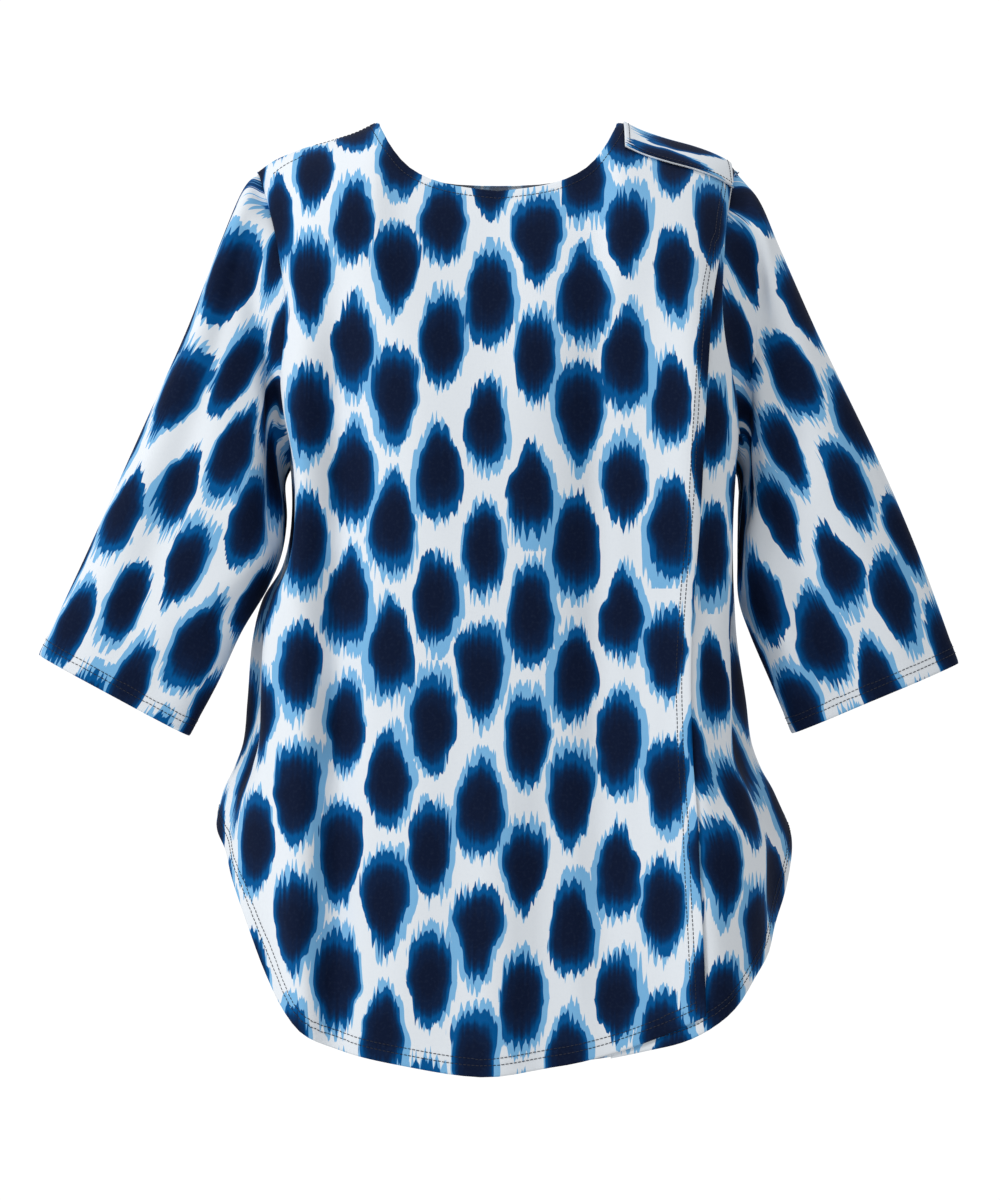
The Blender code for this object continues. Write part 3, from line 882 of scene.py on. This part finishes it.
# How the print lies on each piece: where column 0 is at height 0, how far the columns lean, and
# the step of each column along the cloth as a share of PERIOD, from the first column's number
LAYS = {
    # piece: seed, shift, lean, first column, steps
    "front": (
        3.0, -0.0043, 0.0191, -5,
        (-0.40, -0.30, -0.34, -0.44, -0.35, -0.23, -0.20, -0.26, -0.22, -0.41, -0.32),
    ),
    "underlap": (8.0, -0.0083, 0.02, 0, (-0.21, -0.10)),
    "back": (5.0, 0.0, 0.0, -3, (0.04, -0.03, 0.05, -0.06, 0.02, -0.04, 0.06)),
    "right_sleeve": (11.0, 0.0436, 0.0318, 0, (0.37, -0.46, -0.39, -0.38, -0.35)),
    "left_sleeve": (14.0, 0.0103, -0.0168, -4, (0.18, 0.17, 0.14, 0.16)),
    "flap": (21.0, 0.0, 0.0, 0, (0.10,)),
}


def linear(red, green, blue):
    """A colour from its 8-bit screen values."""
    parts = [v / 255 for v in (red, green, blue)]
    return tuple(v / 12.92 if v < 0.0404 else ((v + 0.055) / 1.055) ** 2.4 for v in parts) + (1.0,)


GROUND = linear(232, 238, 244)
HALO = linear(124, 184, 228)
BLUE = linear(0, 85, 148)
DEEP = linear(2, 51, 98)
NAVY = linear(13, 31, 62)
CORE = linear(12, 24, 50)
THREAD_COLOUR = linear(20, 26, 46)
FLOOR_COLOUR = linear(246, 246, 246)
TONE_COLOUR = linear(120, 140, 170)


class Wire:
    """A shader socket: sums and products of wires add Math nodes."""

    def __init__(self, tree, socket=None):
        self.tree = tree
        self.socket = socket

    def node(self, kind, settings=None, sockets=None, output=0):
        """Adds a node and returns the wire from one of its outputs."""
        made = self.tree.nodes.new(kind)
        for name, value in (settings or {}).items():
            if name == "stops":
                while len(made.color_ramp.elements) < len(value):
                    made.color_ramp.elements.new(1.0)
                for stop, (place, colour) in zip(made.color_ramp.elements, value):
                    stop.position = place
                    stop.color = colour
            elif name == "blend":
                made.color_ramp.interpolation = value
            else:
                setattr(made, name, value)
        for name, value in (sockets or {}).items():
            if isinstance(value, Wire):
                self.tree.links.new(value.socket, made.inputs[name])
            else:
                made.inputs[name].default_value = value
        return Wire(self.tree, made.outputs[output])

    def math(self, operation, *others):
        sockets = dict(enumerate((self, *others)))
        return self.node("ShaderNodeMath", {"operation": operation}, sockets)

    def __add__(self, other):
        return self.math("ADD", other)

    __radd__ = __add__

    def __mul__(self, other):
        return self.math("MULTIPLY", other)

    __rmul__ = __mul__

    def __sub__(self, other):
        return self.math("SUBTRACT", other)

    def __rsub__(self, other):
        return self * -1.0 + other

    def __truediv__(self, other):
        return self.math("DIVIDE", other)

    def __pow__(self, other):
        return self.math("POWER", other)

    def __abs__(self):
        return self.math("ABSOLUTE")

    def smooth(self, start, end):
        """0 at start and 1 at end, smooth between them."""
        sockets = {"Value": self, "From Min": start, "From Max": end}
        return self.node("ShaderNodeMapRange", {"interpolation_type": "SMOOTHSTEP"}, sockets)

    def parts(self):
        """The three parts of a colour or a vector."""
        made = self.node("ShaderNodeSeparateXYZ", None, {0: self}).socket.node
        return [Wire(self.tree, socket) for socket in made.outputs]

    def vector(self, x, y, z):
        return self.node("ShaderNodeCombineXYZ", None, {0: x, 1: y, 2: z})

    def mix(self, share, first, second):
        """A colour between two, by share."""
        sockets = {0: share, 6: first, 7: second}
        return self.node("ShaderNodeMix", {"data_type": "RGBA"}, sockets, output=2)


def flames(wire, u, number, seed, height):
    """How far the ragged ends of a spot fall short at u, in metres."""
    place = wire.vector(u / (FLAME_PITCH * FLAME_NOISE), number * 7.31, seed)
    settings = {"noise_dimensions": "3D"}
    sockets = {"Vector": place, "Scale": 1.0, "Detail": 1.0, "Roughness": 0.6}
    swing, size, fine = wire.node("ShaderNodeTexNoise", settings, sockets, 1).parts()
    tooth = (u / FLAME_PITCH + swing * FLAME_SWING).math("PINGPONG", 0.5) * 2.0
    small = (u / (FLAME_PITCH * SMALL_PITCH) + fine * SMALL_SWING).math("PINGPONG", 0.5) * 2.0
    return (tooth * (size * FLAME_SPREAD - FLAME_LEAST) + small * SMALL_HEIGHT) * height


def chance(wire, column, row, seed):
    """Three random numbers for a spot."""
    settings = {"noise_dimensions": "3D"}
    sockets = {"Vector": wire.vector(column, row, seed)}
    return wire.node("ShaderNodeTexWhiteNoise", settings, sockets, 1).parts()


def spots(wire, u, v, odd, lay, wobble):
    """Half of the columns: how far a place is from its spot's middle (1 at the edge) in the blue
    and in the halo."""
    seed, _, _, first, steps = lay
    cell = u / (2 * PITCH) + (0.0 if odd else 0.5)
    line = cell.math("FLOOR")
    dx = (cell - line - 0.5) * (2 * PITCH) + wobble[0]
    number = line * 2.0 + (1.0 if odd else 0.0)
    count = len(steps)
    stops = [(k / count, (0.5 + share,) * 3 + (1.0,)) for k, share in enumerate(steps)]
    settings = {"stops": stops, "blend": "CONSTANT"}
    at = (number - first + 0.5) / count
    step = wire.node("ShaderNodeValToRGB", settings, {0: at}) - (0.0 if odd else 0.5)
    rung = v / PERIOD + step
    row = rung.math("FLOOR")
    dy = (rung - row - 0.5) * PERIOD + wobble[1]
    sideways, lengthways, point = chance(wire, number, row, seed)
    halo_aside, halo_along, size = chance(wire, number, row, seed + 5.3)
    dx = dx + (sideways - 0.5) * SPOT_MOVE[0]
    dy = dy + (lengthways - 0.5) * SPOT_MOVE[1]
    size = LEAST_SIZE + size * SIZE_SPREAD
    pointing = (point - 0.5) * (2 * POINTING)
    up = dy.math("SIGN")
    # these numbers only make one end of a spot ragged in another way than the next
    key = number * 3.7 + row * 1.9 + up * 0.7
    found = []
    halo_x = dx + (halo_aside - 0.5) * HALO_MOVE[0]
    halo_y = dy + (halo_along - 0.5) * HALO_MOVE[1]
    for x, y, grow, tall, mark in (
        (dx, dy, 0.0, FLAME_HEIGHT, 1.0),
        (halo_x, halo_y, HALO_GROWTH, HALO_FLAME_HEIGHT, 4.0),
    ):
        short = flames(wire, u, key, seed + mark, tall)
        half = SPOT_HALF_HEIGHT + HALO_TALLER * grow
        level = (abs(y) + short) / (size * (half + tall * FLAME_REACH))
        oval = y / (size * half)
        wide = (1.0 - pointing * oval) * (SPOT_HALF_WIDTH + grow) * size
        aside = abs(x) / wide
        found.append((aside**SQUARENESS + level**2.0) ** 0.5)
        inner = oval * MIDDLE_SHRINK + short * up * STREAKS
        found.append((aside**SQUARENESS + inner**2.0) ** 0.5)
    return found


def print_colour(wire, lay):
    """The print's colour at each place of the cloth, and that place."""
    u, v, _ = wire.node("ShaderNodeUVMap", {"uv_map": "cloth"}).parts()
    _, shift, lean, _, _ = lay
    u = u - shift - v * lean
    sockets = {"Vector": wire.vector(u, v, 0.0), "Scale": WOBBLE_SCALE, "Detail": 1.0}
    drift = wire.node("ShaderNodeTexNoise", {"noise_dimensions": "2D"}, sockets, 1).parts()
    wobble = [(part - 0.5) * WOBBLE for part in drift[:2]]
    even = spots(wire, u, v, False, lay, wobble)
    odd = spots(wire, u, v, True, lay, wobble)
    blue = even[0].math("MINIMUM", odd[0])
    soft = even[1].math("MINIMUM", odd[1])
    halo = even[2].math("MINIMUM", odd[2])
    colour = wire.mix(halo.smooth(*EDGE), GROUND, HALO)
    colour = wire.mix(blue.smooth(*EDGE), colour, BLUE)
    inside = blue.smooth(*INSIDE)
    colour = wire.mix(soft.smooth(*DEEP_FADE) * inside, colour, DEEP)
    colour = wire.mix(soft.smooth(*NAVY_FADE) * inside, colour, NAVY)
    return wire.mix(soft.smooth(*CORE_FADE) * inside, colour, CORE), u, v


def jersey(name, lay, reverse=0.0):
    """Printed jersey: reverse is how pale the print is, on the inside."""
    made = bpy.data.materials.new(name)
    made.use_nodes = True
    tree = made.node_tree
    shader = tree.nodes["Principled BSDF"]
    wire = Wire(tree)
    colour, u, v = print_colour(wire, LAYS[lay])
    if reverse:
        colour = wire.mix(reverse, colour, GROUND)
    place = wire.vector(u, v, 0.0)
    settings = {"noise_dimensions": "2D"}
    tone = wire.node("ShaderNodeTexNoise", settings, {"Vector": place, **TONE_NOISE})
    colour = wire.mix((tone - 0.5) * TONE_SHARE, colour, TONE_COLOUR)
    tree.links.new(colour.socket, shader.inputs["Base Color"])
    rib = (u * (2 * math.pi / RIB_PITCH)).math("SINE")
    loop = (v * (2 * math.pi / LOOP_PITCH) + rib * LOOP_BEND).math("SINE")
    rise = rib * RIB_RELIEF + loop * LOOP_RELIEF
    relief = wire.node("ShaderNodeBump", None, {"Height": rise, **RELIEF})
    tree.links.new(relief.socket, shader.inputs["Normal"])
    tree.links.new((tone * ROUGHNESS_SPREAD + ROUGHNESS).socket, shader.inputs["Roughness"])
    for name, value in JERSEY_FINISH.items():
        shader.inputs[name].default_value = value
    return made


def plain(name, colour, roughness):
    """A material of one colour with a faint grain."""
    made = bpy.data.materials.new(name)
    made.use_nodes = True
    tree = made.node_tree
    shader = tree.nodes["Principled BSDF"]
    wire = Wire(tree)
    place = wire.node("ShaderNodeTexCoord", None, None, 3)
    grain = wire.node("ShaderNodeTexNoise", None, {"Vector": place, "Scale": GRAIN_SCALE})
    shade = tuple(v * GRAIN_SHADE for v in colour[:3]) + (1.0,)
    tint = wire.mix(grain * GRAIN_SHARE, colour, shade)
    tree.links.new(tint.socket, shader.inputs["Base Color"])
    shader.inputs["Roughness"].default_value = roughness
    return made


def flat_panel(sheet, middle):
    """The flat place of a panel's points: across from the angle middle, and up the cloth."""
    degrees, points = sheet.across, sheet.plain
    x, z = np.abs(points[..., 0]), points[..., 2]
    across = np.zeros(z.shape)
    before = body(middle + 0 * degrees, z, rounded=False)
    for k in range(1, SECTION_STEPS + 1):
        after = body(middle + (degrees - middle) * k / SECTION_STEPS, z, rounded=False)
        across += np.linalg.norm(after - before, axis=-1)
        before = after
    rounding = along(ROUNDING, x)
    turn = np.arcsin(np.clip(1 - (along(SHOULDER, x) - z) / rounding, 0.0, 1.0))
    up = z + SHOULDER_EASE * rounding * (turn - np.sin(turn))
    return np.stack((across * np.sign(degrees - middle), up), axis=-1)


def flat_sleeve(sheet, rows, side):
    """The flat place of a sleeve's points, round its sections from the outer line and up along
    its lean."""
    up = np.array((-side * SLEEVE_LEAN, 0.0, 1.0)) / math.hypot(SLEEVE_LEAN, 1.0)
    out = np.array((up[2], 0.0, -up[0])) * side
    table = np.array(rows)[::-1]
    depth, middle_y = table[:, 4] * SLEEVE_FLATNESS / 2, table[:, 5]
    outer, inner = (np.insert(table[:, k : k + 2], 1, 0.0, axis=1) for k in (0, 2))
    level = outer @ up
    v = sheet.plain @ up
    half = np.interp(v, level, (outer - inner) @ out / 2)
    centre = np.interp(v, level, (outer + inner) @ out / 2)
    depth, middle_y = np.interp(v, level, depth), np.interp(v, level, middle_y)
    ahead = (middle_y - sheet.plain[..., 1]) / (depth / SLEEVE_FLATNESS)
    turn = np.unwrap(np.arctan2(ahead, (sheet.plain @ out - centre) / half), axis=1)
    outer_turn = turn[:, [turn.shape[1] // 2]]
    turn = turn - 2 * math.pi * np.round(outer_turn / (2 * math.pi))
    way = np.zeros(v.shape)
    for k in range(SECTION_STEPS):
        at = turn * (k + 0.5) / SECTION_STEPS
        way += np.hypot(half * np.sin(at), depth * np.cos(at)) * turn / SECTION_STEPS
    return np.stack((-side * SLEEVE_FULLNESS * way, v), axis=-1)


def area_of(points):
    """The area of a grid of points."""
    a = points[1:, 1:] - points[:-1, :-1]
    b = points[1:, :-1] - points[:-1, 1:]
    return float(np.linalg.norm(np.cross(a, b), axis=-1).sum() / 2)


def declare(sheet, node):
    """Hides the solid that a piece of cloth stands for, and works out the size it was cut to, which
    is not kept.
    """
    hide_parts(node)
    width = float(lengths(sheet.plain, 1)[:, -1].max())
    length = float(lengths(sheet.plain, 0)[-1].max())
    area = min(area_of(sheet.plain), width * length)


def printed_piece(sheet, flat, node, paleness=INNER_PALENESS):
    outer = jersey(sheet.name + "_print", sheet.name)
    inner = jersey(sheet.name + "_reverse", sheet.name, reverse=paleness)
    made = sheet.build(flat, THICKNESS, outer, inner)
    declare(sheet, node)


def neckline(sheet):
    """The neck's edge of a panel."""
    return sheet.plain[-1, NECK_FROM:-NECK_FROM]


def ridge(sheet):
    """The edge of the front along the wearer's right shoulder."""
    return sheet.plain[-1, : NECK_FROM + 2]


def panels():
    """The front, the underlap and the back."""
    low = crowded(LOW_ROWS) / 2
    high = 0.5 + crowded(ARM_ROWS) / 2
    t = np.concatenate((low, high[1:]))
    front = Sheet("front", front_panel, crowded(FRONT_COLUMNS), t)
    front.turned(front.edge("bottom"), HEM)
    front.turned(front.edge("right"), LAP_EDGE)
    front.turned(neckline(front), NECK_EDGE)
    front.turned(ridge(front), SHOULDER_EDGE)
    front.drawn_in(front.plain[:, 0])
    printed_piece(front, flat_panel(front, middle=0.0), "front_panel")

    under = Sheet("underlap", underlap_panel, crowded(UNDERLAP_COLUMNS), t)
    under.turned(under.edge("bottom"), HEM)
    under.drawn_in(under.plain[:, -1])
    printed_piece(under, flat_panel(under, middle=60.0), "underlap_panel")

    back = Sheet("back", back_panel, crowded(BACK_COLUMNS), t)
    back.turned(back.edge("bottom"), HEM)
    back.turned(neckline(back), NECK_EDGE)
    back.drawn_in(back.plain[:, 0])
    back.drawn_in(back.plain[:, -1])
    printed_piece(back, flat_panel(back, middle=180.0), "back_panel", BACK_PALENESS)
    return front, under, back


def sleeves():
    """Both sleeves."""
    made = []
    for name, node, rows, side, table in (
        ("right_sleeve", "sleeve_right", RIGHT_SLEEVE, -1, RIGHT_SLEEVE_CREASES),
        ("left_sleeve", "sleeve_left", LEFT_SLEEVE, 1, LEFT_SLEEVE_CREASES),
    ):
        round_it = np.linspace(0.0, 1.0, SLEEVE_COLUMNS + 1)
        place = sleeve(rows, side, table)
        sheet = Sheet(name, place, round_it, crowded(SLEEVE_ROWS), closed=True)
        sheet.turned(sheet.edge("bottom"), CUFF)
        printed_piece(sheet, flat_sleeve(sheet, rows, side), node)
        made.append(sheet)
    return made


def shoulder_flap():
    """The doubled strip over the wearer's left shoulder."""
    printed = jersey("flap_print", "flap")
    sheet = Sheet("flap", flap, crowded(FLAP_COLUMNS), np.linspace(0.0, 1.0, FLAP_ROWS + 1))
    for side in FLAP_SEWN:
        sheet.turned(sheet.edge(side), FLAP_EDGE)
    across, up = lengths(sheet.plain, 1), lengths(sheet.plain, 0)
    facing = plain("flap_facing", GROUND, roughness=0.8)
    piece = sheet.build(np.stack((up, across), axis=-1), FLAP_THICKNESS, printed, facing, rim=1)
    declare(sheet, "shoulder_flap")
    return sheet


def rows_along(sheet, line, finish, start=0.0, end=1.0):
    """The rows of stitches of a turned edge."""
    return [sheet.inset(line, distance, start, end) for distance in finish[2]]


def sewing(front, under, back, sleeve_sheets, flap_sheet):
    """All the rows of stitches."""
    thread = plain("thread", THREAD_COLOUR, roughness=0.6)
    lines = rows_along(front, front.edge("bottom"), HEM, 0.005, 0.998)
    lines += rows_along(front, front.edge("right"), LAP_EDGE, 0.004, 0.97)
    lines += rows_along(front, neckline(front)[::-1], NECK_EDGE, 0.02, 0.98)
    lines += rows_along(front, ridge(front)[::-1], SHOULDER_EDGE, 0.07, 0.98)
    sew("front_stitches", lines, thread)
    sew("underlap_stitches", rows_along(under, under.edge("bottom"), HEM), thread)
    lines = rows_along(back, back.edge("bottom"), HEM, 0.002, 0.998)
    lines += rows_along(back, neckline(back)[::-1], NECK_EDGE, 0.02, 0.98)
    sew("back_stitches", lines, thread)
    for sheet in sleeve_sheets:
        sew(sheet.name + "_stitches", rows_along(sheet, sheet.edge("bottom"), CUFF), thread)
    lines = []
    for side in FLAP_SEWN:
        lines += rows_along(flap_sheet, flap_sheet.edge(side), FLAP_EDGE, 0.03, 0.97)
    sew("flap_stitches", lines, thread)


def stage():
    """Floor, light and camera."""
    mesh = bpy.data.meshes.new("floor")
    corners = ((-1, -1), (1, -1), (1, 1), (-1, 1))
    points = [(a * FLOOR_HALF, b * FLOOR_HALF, FLOOR_Z) for a, b in corners]
    mesh.from_pydata(points, [], [(0, 1, 2, 3)])
    mesh.materials.append(plain("floor", FLOOR_COLOUR, roughness=0.9))
    floor = added("floor", mesh)

    world = bpy.data.worlds.new("studio")
    world.use_nodes = True
    tree = world.node_tree
    wire = Wire(tree)
    camera_sees = wire.node("ShaderNodeLightPath")
    strength = camera_sees * (WORLD_SEEN - WORLD_LIGHT) + WORLD_LIGHT
    background = tree.nodes["Background"]
    background.inputs["Color"].default_value = (1.0, 1.0, 1.0, 1.0)
    tree.links.new(strength.socket, background.inputs["Strength"])
    bpy.context.scene.world = world

    for name, place, size, power in LIGHTS:
        light = bpy.data.lights.new(name, "AREA")
        light.shape = "DISK"
        light.size = size
        light.energy = power
        made = added(name, light)
        made.location = place
        aim = Vector(LIGHT_AIM) - Vector(place)
        made.rotation_euler = aim.to_track_quat("-Z", "Y").to_euler()

    lens = bpy.data.cameras.new("camera")
    lens.lens = LENS
    lens.sensor_width = SENSOR
    camera = added("camera", lens)
    camera.location = CAMERA_PLACE
    camera.rotation_euler = (math.pi / 2, 0.0, 0.0)
    bpy.context.scene.camera = camera
    bpy.context.scene.view_settings.view_transform = "Standard"


front, under, back = panels()
sleeve_sheets = sleeves()
flap_sheet = shoulder_flap()
sewing(front, under, back, sleeve_sheets, flap_sheet)
stage()
